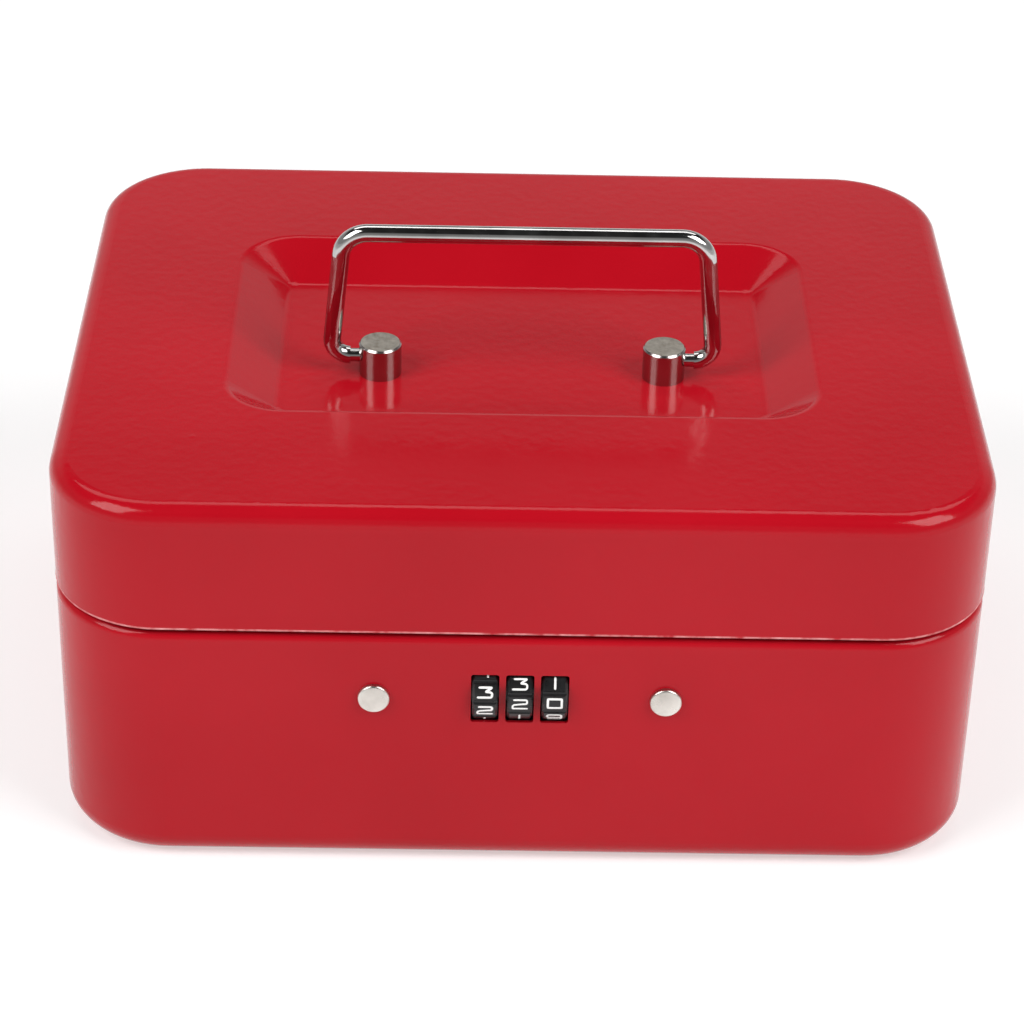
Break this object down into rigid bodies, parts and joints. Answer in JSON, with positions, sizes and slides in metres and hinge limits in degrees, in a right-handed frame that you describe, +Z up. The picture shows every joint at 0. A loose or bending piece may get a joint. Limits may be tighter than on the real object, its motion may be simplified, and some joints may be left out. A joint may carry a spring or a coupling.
{
  "type": "cash box",
  "caption": "Enamelled steel cash box: hinged lid with a wire bail folding into a pressed well, numbered combination dials in the front and a lift-out coin tray.",
  "frame": {"origin": "under the middle of the floor, on the plane the box stands on", "axes": "+X to the right seen from the dials, +Y from the dials to the hinge, +Z up"},
  "size_m": [0.2, 0.1666, 0.1197],
  "materials": {
    "red_enamel": "glossy baked enamel",
    "chrome": "polished plate",
    "steel": "bright zinc plate",
    "spring_steel": "bright drawn",
    "zinc": "as cast",
    "black_dial": "satin black with white numerals",
    "tray_plastic": "fine grain"
  },
  "bodies": {
    "base": {"base_shell": "red_enamel", "hinge_leaf_base": "red_enamel", "hinge_pin": "steel", "lock_case": "zinc", "lock_cover": "zinc", "lock_cover_screws": "steel", "lock_rivets": "steel", "detent_spring": "spring_steel", "bolt_spring": "spring_steel"},
    "lid": {"lid_shell": "red_enamel", "hinge_leaf_lid": "red_enamel", "lid_keeper": "steel", "handle_post_left": "chrome", "handle_post_right": "chrome", "handle_post_screws": "steel", "handle_post_washers": "steel"},
    "bail": {"bail_handle": "chrome"},
    "left_dial": {"dial_left": "black_dial", "code_sleeve_left": "black_dial"},
    "middle_dial": {"dial_middle": "black_dial", "code_sleeve_middle": "black_dial"},
    "right_dial": {"dial_right": "black_dial", "code_sleeve_right": "black_dial"},
    "bolt": {"lock_spindle": "steel", "latch_bolt": "steel"},
    "tray": {"coin_tray": "tray_plastic"}
  },
  "joints": [
    {"name": "lid_hinge", "type": "hinge", "parent": "base", "child": "lid", "pos_m": [0, 0.0825, 0.06], "axis": [-1, 0, 0], "range_deg": [0, 105]},
    {"name": "bail_pivot", "type": "hinge", "parent": "lid", "child": "bail", "pos_m": [0, -0.0095, 0.0872], "axis": [-1, 0, 0], "range_deg": [-80, 90]},
    {"name": "left_dial_turn", "type": "hinge", "parent": "base", "child": "left_dial", "pos_m": [-0.0074, -0.0747, 0.044], "axis": [1, 0, 0], "continuous": true},
    {"name": "middle_dial_turn", "type": "hinge", "parent": "base", "child": "middle_dial", "pos_m": [0, -0.0747, 0.044], "axis": [1, 0, 0], "continuous": true},
    {"name": "right_dial_turn", "type": "hinge", "parent": "base", "child": "right_dial", "pos_m": [0.0074, -0.0747, 0.044], "axis": [1, 0, 0], "continuous": true},
    {"name": "bolt_slide", "type": "slide", "parent": "base", "child": "bolt", "axis": [1, 0, 0], "range_m": [0, 0.0024], "deforming": ["bolt_spring"]},
    {"name": "tray_lift", "type": "slide", "parent": "base", "child": "tray", "axis": [0, 0, 1], "range_m": [0, 0.01]}
  ]
}
